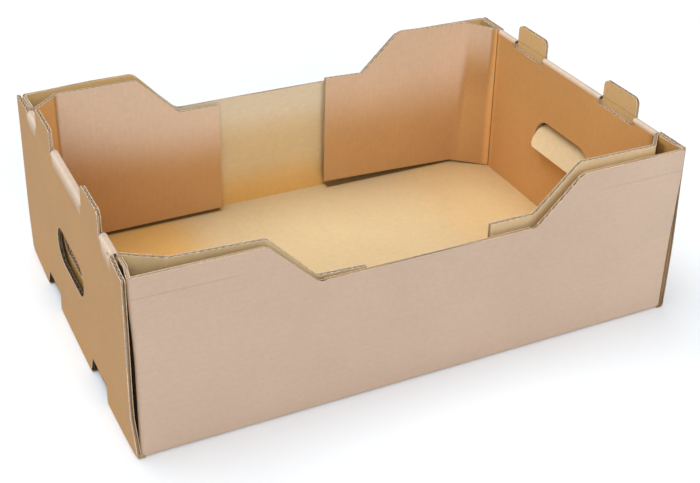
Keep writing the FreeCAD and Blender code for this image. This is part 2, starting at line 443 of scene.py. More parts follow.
def liner_sheet(turn, sizes):
    """Carries the plan of the inner panel, posts and side flaps up the tray.

    The inner panel bellies in along X by sin(pi z / height) x cos(pi y / panel width). Each post
    turns about its fold with the panel, so that its side flap stands in from the long wall, and
    the side flap swings about its own fold and rises towards its free end, as CORNERS says.
    """
    half = LINER_LENGTH / 2

    def place(distance, height, depth):
        point, normal = along(LINER_PATH, distance)
        x = point[..., 0] + depth * normal[..., 0]
        y = point[..., 1] + depth * normal[..., 1]
        reach = np.clip(np.abs(distance - half) / PANEL_HALF_WIDTH, 0, 1)
        free = np.clip((POST_FACE - x) / (POST_FACE - SIDE_FLAP_END), 0, 1)
        turned = np.clip((PANEL_FACE - x) / (PANEL_FACE - POST_FACE), 0, 1)
        fold_top, fold_foot, fold_in, end_out, end_in, fold_rise, end_rise = settled(turn, turn * y)
        low = 1 - height / WALL_HEIGHT
        y = y - np.sign(y) * (fold_in * turned * (1 - free) + end_in * free)
        x = x + (fold_top + (fold_foot - fold_top) * low) * turned * (1 - free) + end_out * free
        x = x - sizes.panel_bulge * hump(height / ROLL_START) * np.cos(np.pi * reach / 2) ** 2
        sag = sizes.panel_sag * (turn > 0) * smoothstep((60 * MM - height) / (60 * MM))
        z = height + fold_rise * turned * (1 - free) + end_rise * free - sag
        z = np.maximum(z, np.minimum(height, BOARD_TOP))
        return lean(np.stack([turn * x, turn * y, z], -1), sizes)
    return place


def wall_sheet(turn, sizes):
    """Carries the plan of a long wall and its glue flaps up the tray, and bows the wall out.

    The bow is wall_bow x sin of the place along the wall x sin(0.8 pi z / height). The front wall
    reaches outwards at its upper corners, and the back wall's left shoulder rises.
    """
    def place(distance, height, depth):
        point, normal = along(WALL_PATH, distance)
        x = point[..., 0] + depth * normal[..., 0]
        y = point[..., 1] + depth * normal[..., 1]
        out = hump((x + GLUE_FACE) / (2 * GLUE_FACE)) * hump(0.8 * height / WALL_HEIGHT)
        corner = smoothstep((np.abs(x) - 230 * MM) / (65 * MM)) * smoothstep((-y - 180 * MM) / (14 * MM))
        right = smoothstep((height - 60 * MM) / (130 * MM)) * (x > 0)
        left = smoothstep((height - 100 * MM) / (90 * MM)) * (x < 0)
        x = x + CORNER_REACH * (turn > 0) * corner * (right - left)
        y = y - sizes.wall_bow * out
        shoulder = smoothstep((x - 120 * MM) / (40 * MM)) * smoothstep((290 * MM - x) / (80 * MM))
        rise = SHOULDER_RISE * (turn < 0) * shoulder * smoothstep((height - DIP_HEIGHT) / (49 * MM))
        return lean(np.stack([turn * x, turn * y, height + rise], -1), sizes)
    return place


def base_sheet():
    """Carries the U of the base and its two long folds along the tray."""
    def place(distance, x, depth):
        point, normal = along(BASE_PATH, distance)
        y = point[..., 0] + depth * normal[..., 0]
        z = point[..., 1] + depth * normal[..., 1]
        return np.stack([x, y, z], -1)
    return place


def end_wall_grids(turn, step):
    """Grids over an end wall: three feet between the notches, two bands round the hand hole, the raw
    corners and the two tabs. Pairs are the distance up END_PATH and the place across the end."""
    tabs = [side * TAB_OFFSET + edge * TAB_HALF_WIDTH for side in (-1, 1) for edge in (-1, 1)]
    slots = [side * TAB_OFFSET + edge * SLOT_HALF_WIDTH for side in (-1, 1) for edge in (-1, 1)]
    notch_low, notch_high = -NOTCH_HALF_WIDTH + NOTCH_SLOPE, NOTCH_HALF_WIDTH
    notches = [turn * (side * TAB_OFFSET + edge) for side in (-1, 1) for edge in (notch_low, notch_high)]
    hole = round_keys(0, HOLE_LENGTH / 2, HOLE_HEIGHT / 2)
    corners = np.concatenate([round_keys(side * TAB_OFFSET, TAB_HALF_WIDTH, TAB_CORNER) for side in (-1, 1)])
    edges = [-HALF_WIDTH, HALF_WIDTH, -PANEL_HALF_WIDTH, PANEL_HALF_WIDTH]
    across = stations(np.concatenate([tabs, slots, notches, hole, corners, edges]), step)

    half = oval_half(across, HOLE_LENGTH, HOLE_HEIGHT)
    low = END_RISE + NOTCH_HEIGHT
    middle = END_RISE + HOLE_MIDDLE
    high = END_RISE + ROLL_START
    shares = np.linspace(0, 1, 6)
    grids = [
        ruled(pairs(low, across), pairs(middle - half, across), shares),
        ruled(pairs(middle + half, across), pairs(high - EDGE_ROW, across), shares),
        ruled(pairs(high - EDGE_ROW, across), pairs(high, across), [0, 1]),
    ]
    for start, end in ((-HALF_WIDTH, -PANEL_HALF_WIDTH), (PANEL_HALF_WIDTH, HALF_WIDTH)):
        part = between(across, start, end)
        grids.append(ruled(pairs(high, part), pairs(END_RISE + WALL_HEIGHT, part), [0, 1]))
    for side in (-1, 1):
        part = between(across, side * TAB_OFFSET - TAB_HALF_WIDTH, side * TAB_OFFSET + TAB_HALF_WIDTH)
        beyond = np.clip(np.abs(part - side * TAB_OFFSET) - (TAB_HALF_WIDTH - TAB_CORNER), 0, TAB_CORNER)
        top = END_RISE + TAB_TOP - TAB_CORNER + np.sqrt(TAB_CORNER ** 2 - beyond ** 2)
        grids.append(ruled(pairs(high, part), pairs(top, part), np.linspace(0, 1, 4)))

    climb = np.unique(np.concatenate([between(END_PATH[0], 0, low), stations([END_RISE, low], 4 * MM)]))
    slope = notch_low - NOTCH_SLOPE + NOTCH_SLOPE * np.clip((climb - END_RISE) / NOTCH_HEIGHT, 0, 1)
    sides = [
        (np.full_like(climb, -HALF_WIDTH), -TAB_OFFSET + slope),
        (np.full_like(climb, -TAB_OFFSET + notch_high), TAB_OFFSET + slope),
        (np.full_like(climb, TAB_OFFSET + notch_high), np.full_like(climb, HALF_WIDTH)),
    ]
    for first, last in sides:
        top_row = np.sort(turn * between(across, *sorted((turn * first[-1], turn * last[-1]))))
        share = (top_row - first[-1]) / (last[-1] - first[-1])
        grids.append(ruled(pairs(climb, turn * first), pairs(climb, turn * last), share))
    return grids


def roll_ranges():
    """The stretches of an end's top edge that roll over, between the tab slots."""
    inner, outer = TAB_OFFSET - SLOT_HALF_WIDTH, TAB_OFFSET + SLOT_HALF_WIDTH
    return [(-PANEL_HALF_WIDTH, -outer), (-inner, inner), (outer, PANEL_HALF_WIDTH)]


def roll_grids(step):
    """Grids over the rolled edge: pairs are the distance along ROLL_PATH and the place across."""
    distance = ROLL_PATH[0]
    return [
        np.stack(np.meshgrid(distance, stations([start, end], step), indexing="ij"), -1)
        for start, end in roll_ranges()
    ]


def liner_grids(step):
    """Grids over the inner panel, posts and side flaps: pairs are the distance along LINER_PATH and
    the height."""
    total, half = LINER_LENGTH, LINER_LENGTH / 2
    ranges = np.array(roll_ranges())
    hole_length = HOLE_LENGTH + INNER_HOLE_MARGIN + FLAP_SWING
    hole_height = HOLE_HEIGHT + INNER_HOLE_MARGIN
    hole = round_keys(0, hole_length / 2, hole_height / 2)
    locks = np.array([
        side * TAB_OFFSET + edge * (LOCK_TAB_HALF_WIDTH + extra)
        for side in (-1, 1) for edge in (-1, 1) for extra in (0, 0.5 * MM)])
    slope = DIP_LINE[1][1:-1, 0] - SIDE_FLAP_END
    posts = LINER_PATH[0][[1 + i * (BEND_STEPS + 1) + j for i in range(4) for j in range(BEND_STEPS + 1)]]
    panel_start, panel_end = half - PANEL_HALF_WIDTH, half + PANEL_HALF_WIDTH
    keys = np.concatenate([
        half - ranges.ravel(), half - hole, half - locks, slope, total - slope, posts, [0, total]])
    keys = keys[(keys > -1e-7) & (keys < total + 1e-7)]
    distance = stations(keys, step)

    across = half - distance
    on_panel = np.abs(across) < PANEL_HALF_WIDTH + 1e-6
    along_wall = np.abs(np.interp(distance, LINER_PATH[0], LINER_PATH[1][:, 0]))
    top = np.where(on_panel, WALL_HEIGHT, dip_profile(along_wall))
    shelf = HOLE_MIDDLE + (top - HOLE_MIDDLE) * (SLOT_FLOOR - HOLE_MIDDLE) / (WALL_HEIGHT - HOLE_MIDDLE)
    lock = np.abs(np.abs(across) - TAB_OFFSET) < LOCK_TAB_HALF_WIDTH + 1e-6
    foot = np.where(on_panel, np.where(lock, LOCK_TAB_FOOT, PANEL_FOOT), POST_FOOT)
    opening = oval_half(across, hole_length, hole_height)
    low = np.maximum(HOLE_MIDDLE - opening, INNER_HOLE_FOOT)
    grids = [
        ruled(pairs(distance, foot), pairs(distance, low), np.linspace(0, 1, 7)),
        ruled(pairs(distance, HOLE_MIDDLE + opening), pairs(distance, shelf), np.linspace(0, 1, 7)),
    ]
    for start, end in ((0, panel_start), (panel_end, total)):
        part = (distance > start - 1e-6) & (distance < end + 1e-6)
        crest = np.where(on_panel[part], WALL_HEIGHT, top[part])
        grids.append(ruled(pairs(distance[part], shelf[part]), pairs(distance[part], crest), [0, 1]))
    for start, end in ranges:
        part = between(distance, half - end, half - start)
        grids.append(ruled(pairs(part, SLOT_FLOOR), pairs(part, ROLL_START), [0, 1]))
    return grids


def wall_grids(step, row_step):
    """Grids over a long wall and its glue flaps: pairs are the distance along WALL_PATH and the height.

    Below the dip the rows are level from end to end. Above it they run from each glue flap to the
    slope of the dip, and end on it.
    """
    total, half = WALL_LENGTH, WALL_LENGTH / 2
    folds = WALL_PATH[0][1:-1]
    slope = DIP_LINE[1][1:-1, 0]
    shoulder = half - SLOPE_HEAD - 6 * MM
    distance = stations(
        np.concatenate([[0, total, shoulder, total - shoulder], folds, half - slope, half + slope]), step)
    rows = stations([FOLD_RADIUS, DIP_HEIGHT], row_step)
    grids = [np.stack(np.meshgrid(distance, rows, indexing="ij"), -1)]
    rows = stations([DIP_HEIGHT, WALL_HEIGHT], min(row_step, 3 * MM))
    outer = between(distance, 0, shoulder)
    inner = half - dip_side(rows)
    inner_share = np.linspace(0, 1, 5)
    for side in (1, -1):
        ends = (lambda s: s) if side > 0 else (lambda s: total - s)
        grids.append(np.stack(np.meshgrid(np.sort(ends(outer)), rows, indexing="ij"), -1))
        grids.append(ruled(pairs(ends(shoulder), rows), pairs(ends(inner), rows), inner_share))
    return grids


def base_grids(step):
    """Grid over the base and its two long folds: pairs are the distance along BASE_PATH and the place
    along the tray."""
    flap_feet = [
        BASE_LENGTH / 2 + side * (SIDE_FLAP_FACE + offset * MM) for side in (-1, 1) for offset in (0, 3)]
    flat = stations([FOLD_RADIUS * 1.6, *flap_feet, BASE_LENGTH - FOLD_RADIUS * 1.6], step)
    distance = np.unique(np.concatenate([BASE_PATH[0], flat]))
    flap_ends = [side * (SIDE_FLAP_END + offset * MM) for side in (-1, 1) for offset in (0, 5)]
    x = stations([-PANEL_FACE, *flap_ends, PANEL_FACE], 20 * MM)
    return [np.stack(np.meshgrid(distance, x, indexing="ij"), -1)]


def wave(across, length, sizes):
    """Depth of the core: a sine across the flutes, between the two face papers, whose crests wander
    a little along their length, so that an edge cut along the flutes crosses them."""
    reach = sizes.board / 2 - sizes.liner - sizes.medium / 2
    drift = CREST_WANDER * np.sin(length / CREST_WANDER_LENGTH) + CREST_SLANT * length
    return sizes.board / 2 + reach * np.sin(2 * np.pi * (across + drift) / sizes.pitch)


def quads_of(grid, start, facing):
    """Corner numbers of a grid's quads, wound so that they face the way that is asked."""
    rows, columns = grid.shape[:2]
    number = start + np.arange(rows * columns).reshape(rows, columns)
    quads = np.stack([number[:-1, :-1], number[1:, :-1], number[1:, 1:], number[:-1, 1:]], -1)
    down = np.diff(grid, axis=0)[:, :-1]
    right = np.diff(grid, axis=1)[:-1]
    area = np.sum(down[..., 0] * right[..., 1] - down[..., 1] * right[..., 0])
    if area * facing < 0:
        quads = quads[..., ::-1]
    return quads.reshape(-1, 4)


class Sheet:
    """Collects grids of one paper: places, coordinates along and across the flutes, and a tint."""

    def __init__(self):
        self.places, self.boards, self.tints, self.quads, self.count = [], [], [], [], 0

    def add(self, grids, place, depth, facing, across_axis, tint=None):
        """depth is a number, or a function of the coordinate across the flutes."""
        for grid in grids:
            across = grid[..., across_axis]
            length = grid[..., 1 - across_axis]
            level = depth(across, length) if callable(depth) else np.full_like(across, depth)
            spot = place(grid[..., 0], grid[..., 1], level)
            self.quads.append(quads_of(grid, self.count, facing))
            self.places.append(spot.reshape(-1, 3))
            self.boards.append(np.stack([length, across], -1).reshape(-1, 2))
            shade = tint(grid[..., 0], grid[..., 1]) if tint else np.zeros_like(across)
            self.tints.append(shade.reshape(-1))
            self.count += across.size


def new_piece(name, sheet, thickness, offset, face, body):
    """Turns the collected grids into one object: welds shared borders, gives the paper its thickness
    and smooths it except at its cut edges."""
    places = np.concatenate(sheet.places)
    quads = np.concatenate(sheet.quads)
    mesh = bpy.data.meshes.new(name)
    mesh.from_pydata(places.tolist(), [], quads.tolist())
    board = np.concatenate(sheet.boards)[quads.ravel()]
    mesh.uv_layers.new(name="board").data.foreach_set("uv", board.ravel())
    tint = mesh.attributes.new("tint", "FLOAT", "POINT")
    tint.data.foreach_set("value", np.concatenate(sheet.tints))
    papers = material_set()
    mesh.materials.append(papers[face])
    mesh.materials.append(papers["cut_edge"])
    piece = bpy.data.objects.new(name, mesh)
    bpy.context.scene.collection.objects.link(piece)
    weld = piece.modifiers.new("Weld", "WELD")
    weld.merge_threshold = 0.02 * MM
    shell = piece.modifiers.new("Thickness", "SOLIDIFY")
    shell.thickness = thickness
    shell.offset = offset
    shell.material_offset_rim = 1
    bpy.context.view_layer.update()
    graph = bpy.context.evaluated_depsgraph_get()
    finished = bpy.data.meshes.new_from_object(piece.evaluated_get(graph), depsgraph=graph)
    piece.modifiers.clear()
    piece.data = finished
    bpy.data.meshes.remove(mesh)
    finished.name = name
    finished.shade_smooth()
    finished.set_sharp_from_angle(angle=SHARP_ANGLE)
    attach(piece, body)
    return piece


class Socket:
    """A shader value that can be used in Python expressions: each operator adds its Math node."""

    def __init__(self, tree, link):
        self.tree, self.link = tree, link

    def _math(self, operation, *values):
        return self.tree.node("ShaderNodeMath", {"operation": operation}, list(values))

    def __add__(self, other):
        return self._math("ADD", self, other)

    def __radd__(self, other):
        return self._math("ADD", other, self)

    def __sub__(self, other):
        return self._math("SUBTRACT", self, other)

    def __rsub__(self, other):
        return self._math("SUBTRACT", other, self)

    def __mul__(self, other):
        return self._math("MULTIPLY", self, other)

    def __rmul__(self, other):
        return self._math("MULTIPLY", other, self)

    def __truediv__(self, other):
        return self._math("DIVIDE", self, other)

    def __pow__(self, other):
        return self._math("POWER", self, other)

    def sine(self):
        return self._math("SINE", self)

    def size(self):
        return self._math("ABSOLUTE", self)

    def step(self, low, high):
        """0 below low, 1 above high, and smooth between; low may be the larger."""
        return self.tree.node(
            "ShaderNodeMapRange", {"interpolation_type": "SMOOTHSTEP"},
            {"Value": self, "From Min": low, "From Max": high})


class Tree:
    """A material's nodes, made one at a time by one method."""

    def __init__(self, name):
        self.material = bpy.data.materials.new(name)
        self.material.use_nodes = True
        self.material.node_tree.nodes.clear()

    def node(self, kind, settings=None, inputs=None, output=0):
        """A node of a kind, with its settings and then its sockets' values or links."""
        made = self.material.node_tree.nodes.new(kind)
        for setting, value in (settings or {}).items():
            setattr(made, setting, value)
        inputs = inputs or {}
        for key, value in (inputs.items() if isinstance(inputs, dict) else enumerate(inputs)):
            if isinstance(value, Socket):
                self.material.node_tree.links.new(value.link, made.inputs[key])
            else:
                made.inputs[key].default_value = value
        return Socket(self, made.outputs[output])

    def place(self):
        return self.node("ShaderNodeTexCoord", output="Object")

    def scaled(self, vector, scale):
        return self.node("ShaderNodeVectorMath", {"operation": "MULTIPLY"}, [vector, scale])

    def noise(self, vector, scale, detail=3.0, roughness=0.5):
        return self.node(
            "ShaderNodeTexNoise", {"noise_dimensions": "3D"},
            {"Vector": vector, "Scale": scale, "Detail": detail, "Roughness": roughness})

    def mix(self, share, first, second, blend="MIX"):
        made = self.material.node_tree.nodes.new("ShaderNodeMix")
        made.data_type, made.blend_type = "RGBA", blend
        for key, value in ((0, share), (6, first), (7, second)):
            if isinstance(value, Socket):
                self.material.node_tree.links.new(value.link, made.inputs[key])
            else:
                made.inputs[key].default_value = value
        return Socket(self, made.outputs[2])

    def gain(self, colour, value):
        """A colour made lighter or darker by a value."""
        return self.node("ShaderNodeVectorMath", {"operation": "SCALE"}, {"Vector": colour, "Scale": value})

    def finish(self, surface):
        output = self.material.node_tree.nodes.new("ShaderNodeOutputMaterial")
        self.material.node_tree.links.new(surface.link, output.inputs["Surface"])
        return self.material


def rgba(colour, gain=1.0):
    """A colour property, made lighter or darker, as the four numbers that a socket takes."""
    return (*[min(1.0, part * gain) for part in colour], 1.0)


def score_lines(tree, place):
    """1 on the scored lines: thin bands in height outside the front wall, from each end to the dip, and
    across the foot of each tab's inner face."""
    x, y, z = [tree.node("ShaderNodeSeparateXYZ", inputs=[place], output=i) for i in range(3)]
    level = z - SCORE_HEIGHT - x * SCORE_SLOPE
    band = level.size().step(1.1 * MM, 0.3 * MM)
    reach = x.size().step(SCORE_START, SCORE_START + 12 * MM)
    wall = band * reach * y.step(-HALF_WIDTH + 3 * MM, -HALF_WIDTH + 1 * MM)
    foot = (z - WALL_HEIGHT).size().step(1.0 * MM, 0.4 * MM)
    inside = x.size().step(292.0 * MM, 292.6 * MM) * x.size().step(297.0 * MM, 296.6 * MM)
    return wall + 2.0 * foot * inside


def paper(name, shades, pitch, flutes=0.05, grain=1.0):
    """Kraft face paper: clouds, long fibres, dark and pale flecks, and the flutes just showing through.

    The tint attribute picks the ground colour: it runs through the five shades from 0 to 4, most of
    which are painted light and shade. The fibres lie across the flutes. Scored lines run along the
    front wall near its ends.
    """
    tree = Tree(name)
    place = tree.place()
    board = tree.node("ShaderNodeUVMap", {"uv_map": "board"})
    tint = tree.node("ShaderNodeAttribute", {"attribute_name": "tint"}, output="Fac")
    colour = tree.mix(tint.step(0.0, 1.0), rgba(shades[0]), rgba(shades[1]))
    colour = tree.mix(tint.step(1.0, 2.0), colour, rgba(shades[2]))
    colour = tree.mix(tint.step(2.0, 3.0), colour, rgba(shades[3]))
    colour = tree.mix(tint.step(3.0, 4.0), colour, rgba(shades[4]))

    cloud = tree.noise(place, 14.0, 4.0, 0.55)
    blotch = tree.noise(place, 160.0, 3.0, 0.6)
    fibre = tree.noise(tree.scaled(board, (4.0, 1.0, 1.0)), 300.0, 3.0, 0.65)
    fleck = tree.noise(place, 900.0, 2.0, 0.5)
    across = tree.node("ShaderNodeSeparateXYZ", inputs=[board], output=1)
    ridge = (across * (2 * math.pi / pitch)).sine()

    shade = (cloud - 0.5) * 0.10 + (blotch - 0.5) * 0.12 * grain + (fibre - 0.5) * 0.16 * grain
    shade = shade + ridge * flutes * 0.10
    score = score_lines(tree, place)
    colour = tree.gain(colour, 1.0 + shade * 1.3 - score * 0.10)
    colour = tree.gain(colour, 1.0 - fleck.step(0.64, 0.76) * 0.16)
    colour = tree.gain(colour, 1.0 + (1 - fleck).step(0.66, 0.78) * 0.14)

    height = ridge * flutes * 0.5 - score * 0.5 + (blotch - 0.5) * 0.10 + (fibre - 0.5) * 0.12
    normal = tree.node(
        "ShaderNodeBump", inputs={"Strength": 0.35, "Distance": 0.4 * MM, "Height": height})
    skin = tree.node("ShaderNodeBsdfPrincipled", inputs={
        "Base Color": colour, "Roughness": 0.72 + (blotch - 0.5) * 0.2, "Normal": normal,
        "Specular IOR Level": 0.25})
    return tree.finish(skin)


def cut_paper(name, colour, core, painted_shade):
    """The raw edge of a paper: pale torn fibres over a brown ground, painted dark for shade where the tint
    nears 4.
    """
    tree = Tree(name)
    place = tree.place()
    tint = tree.node("ShaderNodeAttribute", {"attribute_name": "tint"}, output="Fac")
    torn = tree.noise(place, 900.0, 3.0, 0.6)
    shade = tree.mix(torn.step(0.35, 0.65), rgba(core), rgba(colour))
    shade = tree.mix(tint.step(3.0, 4.0), shade, rgba(painted_shade))
    skin = tree.node("ShaderNodeBsdfPrincipled", inputs={
        "Base Color": shade, "Roughness": 0.85 + (torn - 0.5) * 0.1, "Specular IOR Level": 0.2})
    return tree.finish(skin)


def core_paper(name, colour, painted_shade):
    """The wavy paper: plain brown with a fine grain, painted dark for shade where the tint nears 4."""
    tree = Tree(name)
    place = tree.place()
    tint = tree.node("ShaderNodeAttribute", {"attribute_name": "tint"}, output="Fac")
    grain = tree.noise(place, 700.0, 3.0, 0.6)
    shade = tree.mix(grain.step(0.3, 0.7), rgba(colour, 0.8), rgba(colour, 1.15))
    shade = tree.mix(tint.step(3.0, 4.0), shade, rgba(painted_shade))
    skin = tree.node("ShaderNodeBsdfPrincipled", inputs={
        "Base Color": shade, "Roughness": 0.85 + (grain - 0.5) * 0.1, "Specular IOR Level": 0.2})
    return tree.finish(skin)


def material_set():
    """The tray's papers, made once and then found by name."""
    colours = bpy.context.scene.tray_colours
    pitch = bpy.context.scene.tray_sizes.pitch
    made = bpy.data.materials
    if "outer_face" not in made:
        outer = (colours.outer_plain, colours.outer_pale, colours.outer_shade, colours.outer_warm,
                 colours.painted_shade)
        inner = (colours.inner_bright, colours.inner_pale, colours.inner_plain, colours.inner_shade,
                 colours.painted_shade)
        paper("outer_face", outer, pitch)
        paper("inner_face", inner, pitch)
        cut_paper("cut_edge", colours.cut, colours.core, colours.painted_shade)
        core_paper("core_paper", colours.core, colours.painted_shade)
    return {name: made[name] for name in ("outer_face", "inner_face", "cut_edge", "core_paper")}


TURNS = (1, -1)


def outer_tints(turn):
    """Where each shade of the outer paper lies, for the pieces of one end or wall.

    End walls are painted deep for their shade, with a painted highlight high beside the rolls, and
    rolled edges are painted pale for the light on them. Inner panels are painted warm for the light in
    the tray, with a painted shadow in the crease beside the right posts. The left posts are painted
    warm too, and the right posts and all side flaps run from painted light at the top to painted shade
    at the foot. Long walls are plain, a little paler to the right, and painted dark for the shade where
    they turn in behind the ends.
    """
    def end(climb, across):
        height = climb - END_RISE
        beside = np.abs(np.abs(across) - TAB_OFFSET) - SLOT_HALF_WIDTH
        roll = smoothstep(beside / (4 * MM)) * smoothstep((158 * MM - np.abs(across)) / (4 * MM))
        # Painted shade on the end wall, with a painted highlight near its top beside the rolled edges.
        return END_WALL_SHADE_TINT - 1.0 * smoothstep((height - 180 * MM) / (12 * MM)) * roll

    def roll(distance, across):
        # Painted highlight on the rolled edge.
        return np.full_like(distance, 1.0)

    def liner(distance, height):
        across = distance - LINER_LENGTH / 2
        beyond = np.abs(across) - PANEL_HALF_WIDTH
        # Side flaps: painted light at the top and painted shade towards the foot.
        pale_foot = 178 * MM - 24 * MM * smoothstep(beyond / (200 * MM))
        left_flap = 1.0 + smoothstep((pale_foot - height) / (110 * MM))
        right_flap = 1.3 + 0.7 * smoothstep((155 * MM - height) / (120 * MM))
        flap = left_flap if turn < 0 else right_flap
        # Painted shadow in the crease beside the right posts.
        crease = 1.1 * smoothstep(1 - np.abs(beyond) / (1.6 * MM)) * (turn > 0)
        # Inner panel: warm painted light from the tray.
        panel = 2.67 + 0.33 * smoothstep(across / (110 * MM)) + crease
        # Right post: painted highlight near its top.
        right_post = 2.3 - 0.95 * smoothstep((height - 90 * MM) / (100 * MM)) + crease
        post = 3.0 if turn < 0 else right_post
        inside = panel + (post - panel) * smoothstep(beyond / (3 * MM))
        return np.where(beyond > POST_SPAN, flap, inside)

    def wall(distance, height):
        plain = 0.26 * smoothstep((distance - WALL_LENGTH / 2 - 50 * MM) / (250 * MM))
        nearest = np.minimum(distance, WALL_LENGTH - distance)
        tucked = (nearest < WALL_PATH[0][2] - 0.1 * MM) & (height < WALL_HEIGHT - 1 * MM)
        # Painted shade on the long walls where they turn in behind the ends.
        return np.where(tucked, PAINTED_SHADE_TINT, plain)

    return end, roll, liner, wall


def inner_tints(turn):
    """Where each shade of the inner paper lies.

    Tabs are painted bright for the light on them, and end walls are painted dark for the shade at their
    upright sides, round the hand hole and at the notches. Rolls are painted dark for their shade. The
    back of the inner panels is painted dark for the shade at the foot. The back long wall runs from
    painted light at the top of its dip to painted shade at the foot, and the front one is painted in
    shade. Both are painted dark for the shade on the glue flaps and under the side flaps.
    """
    def end(climb, across):
        height = climb - END_RISE
        # Painted shade round the hand hole, at the notches and at the upright sides; the tabs keep their
        # painted light.
        tab = 0.2 * smoothstep((height - 192 * MM) / (5 * MM))
        rim = smoothstep((62 * MM - np.hypot(across, height - HOLE_MIDDLE)) / (6 * MM))
        foot = smoothstep((21 * MM - height) / (2 * MM)) * (np.abs(across) < 150 * MM)
        side = smoothstep((np.abs(across) - 185 * MM) / (10 * MM)) * (height < ROLL_START + 1 * MM)
        return tab + np.clip(SHADED_TINT * rim + 3.9 * foot + (3.3 if turn < 0 else 3.5) * side, 0, 4)

    def roll(distance, across):
        # Painted shade on the inside of the rolled edge.
        return np.full_like(distance, SHADED_TINT)

    def liner(distance, height):
        # Painted light at the top of the inner panels' backs, and painted shade at the foot.
        top = 0.45 if turn > 0 else 1.9
        return top + (PAINTED_SHADE_TINT - top) * smoothstep((150 * MM - height) / (130 * MM))

    def wall(distance, height):
        # Back wall: painted light high in its dip and painted shade towards the foot; painted shade under
        # the side flaps and on the glue flaps.
        middle = smoothstep((165 * MM - np.abs(distance - WALL_LENGTH / 2)) / (30 * MM)) * (turn < 0)
        pale = smoothstep((height - 70 * MM) / (75 * MM)) * middle
        shade = 3.0 - 0.5 * smoothstep(height / (75 * MM)) * (1 + middle) - pale
        beyond = np.abs(distance - WALL_LENGTH / 2) - SIDE_FLAP_END
        under = smoothstep((15 * MM - height) / (4 * MM)) * smoothstep((beyond + 2 * MM) / (6 * MM))
        nearest = np.minimum(distance, WALL_LENGTH - distance)
        below = smoothstep((WALL_HEIGHT - height) / (8 * MM))
        tucked = 0.9 * smoothstep((30 * MM - nearest) / (24 * MM)) * below
        return shade + (SHADED_TINT - shade) * np.maximum(under, tucked)

    return end, roll, liner, wall


def floor_tint(distance, x):
    """Floor of the tray: plain, with painted shade deeper towards the ends and painted shadow under the side
    flaps.
    """
    # Painted shade towards the ends, and painted shadow under the side flaps.
    left = smoothstep((-70 * MM - x) / (110 * MM))
    right = 0.35 * smoothstep((x - 110 * MM) / (100 * MM))
    aside = np.abs(distance - BASE_LENGTH / 2) - SIDE_FLAP_FACE
    under = smoothstep(aside / (3 * MM)) * smoothstep((np.abs(x) - SIDE_FLAP_END) / (5 * MM))
    shade = 2.0 + left + right
    return shade + (3.65 - shade) * under


def plain_tint(first, second):
    """Outer face of the base: plain all over."""
    return np.zeros_like(first)


def add_faces(sheet, depth, facing, sizes):
    """Adds one face paper of the whole tray to a sheet. facing is 1 for the core side of the paths."""
    step = sizes.end_step
    for turn in TURNS:
        end, roll, liner, wall = inner_tints(turn) if facing > 0 else outer_tints(turn)
        sheet.add(end_wall_grids(turn, step), end_sheet(END_PATH, turn, sizes, sizes.end_bulge),
                  depth, facing, 1, end)
        sheet.add(roll_grids(step), end_sheet(ROLL_PATH, turn, sizes, 0), depth, facing, 1, roll)
        sheet.add(liner_grids(step), liner_sheet(turn, sizes), depth, -facing, 0, liner)
        sheet.add(wall_grids(step, ROW_STEP), wall_sheet(turn, sizes), depth, -facing, 1, wall)
    base = floor_tint if facing > 0 else plain_tint
    sheet.add(base_grids(ROW_STEP), base_sheet(), depth, -facing, 0, base)


class TRAY_OT_outer_face(bpy.types.Operator):
    """The face paper outside the walls, over the rolled edges and on the inner panels"""

    bl_idname = "tray.outer_face"
    bl_label = "Outer face paper"

    def execute(self, context):
        sizes = context.scene.tray_sizes
        sheet = Sheet()
        add_faces(sheet, 0.0, -1, sizes)
        piece = new_piece("outer_face_paper", sheet, sizes.liner, -1, "outer_face", "tray")
        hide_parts("folded_tray")
        return {"FINISHED"}


class TRAY_OT_inner_face(bpy.types.Operator):
    """The face paper on the tray's floor, inside the long walls and on the tabs' inner sides"""

    bl_idname = "tray.inner_face"
    bl_label = "Inner face paper"

    def execute(self, context):
        sizes = context.scene.tray_sizes
        sheet = Sheet()
        add_faces(sheet, sizes.board, 1, sizes)
        new_piece("inner_face_paper", sheet, sizes.liner, -1, "inner_face", "tray")
        return {"FINISHED"}


class TRAY_OT_core(bpy.types.Operator):
    """The wavy paper between the faces, which shows at every cut edge"""

    bl_idname = "tray.core"
    bl_label = "Fluted core"

    def execute(self, context):
        sizes = context.scene.tray_sizes
        fine = sizes.pitch / WAVE_POINTS
        depth = lambda across, length: wave(across, length, sizes)
        sheet = Sheet()
        for turn in TURNS:
            place = end_sheet(END_PATH, turn, sizes, sizes.end_bulge)
            end, roll = inner_tints(turn)[:2]
            sheet.add(end_wall_grids(turn, fine), place, depth, 1, 1, end)
            sheet.add(roll_grids(fine), end_sheet(ROLL_PATH, turn, sizes, 0), depth, 1, 1, roll)
        new_piece("end_wall_flutes", sheet, sizes.medium, 0, "core_paper", "tray")
        sheet = Sheet()
        for turn in TURNS:
            sheet.add(liner_grids(fine), liner_sheet(turn, sizes), depth, -1, 0)
        new_piece("inner_panel_flutes", sheet, sizes.medium, 0, "core_paper", "tray")
        sheet = Sheet()
        for turn in TURNS:
            sheet.add(wall_grids(ROW_STEP, fine), wall_sheet(turn, sizes), depth, -1, 1)
        new_piece("long_wall_flutes", sheet, sizes.medium, 0, "core_paper", "tray")
        sheet = Sheet()
        sheet.add(base_grids(fine), base_sheet(), depth, -1, 0)
        new_piece("base_flutes", sheet, sizes.medium, 0, "core_paper", "tray")
        return {"FINISHED"}


HINGE_HEIGHT = 118.2 * MM
FLAP_GAP = 0.6 * MM
FLAP_TRIM = 5.5 * MM
FLAPS = (("left_hand_flap", -1, math.radians(22)), ("right_hand_flap", 1, math.radians(34)))


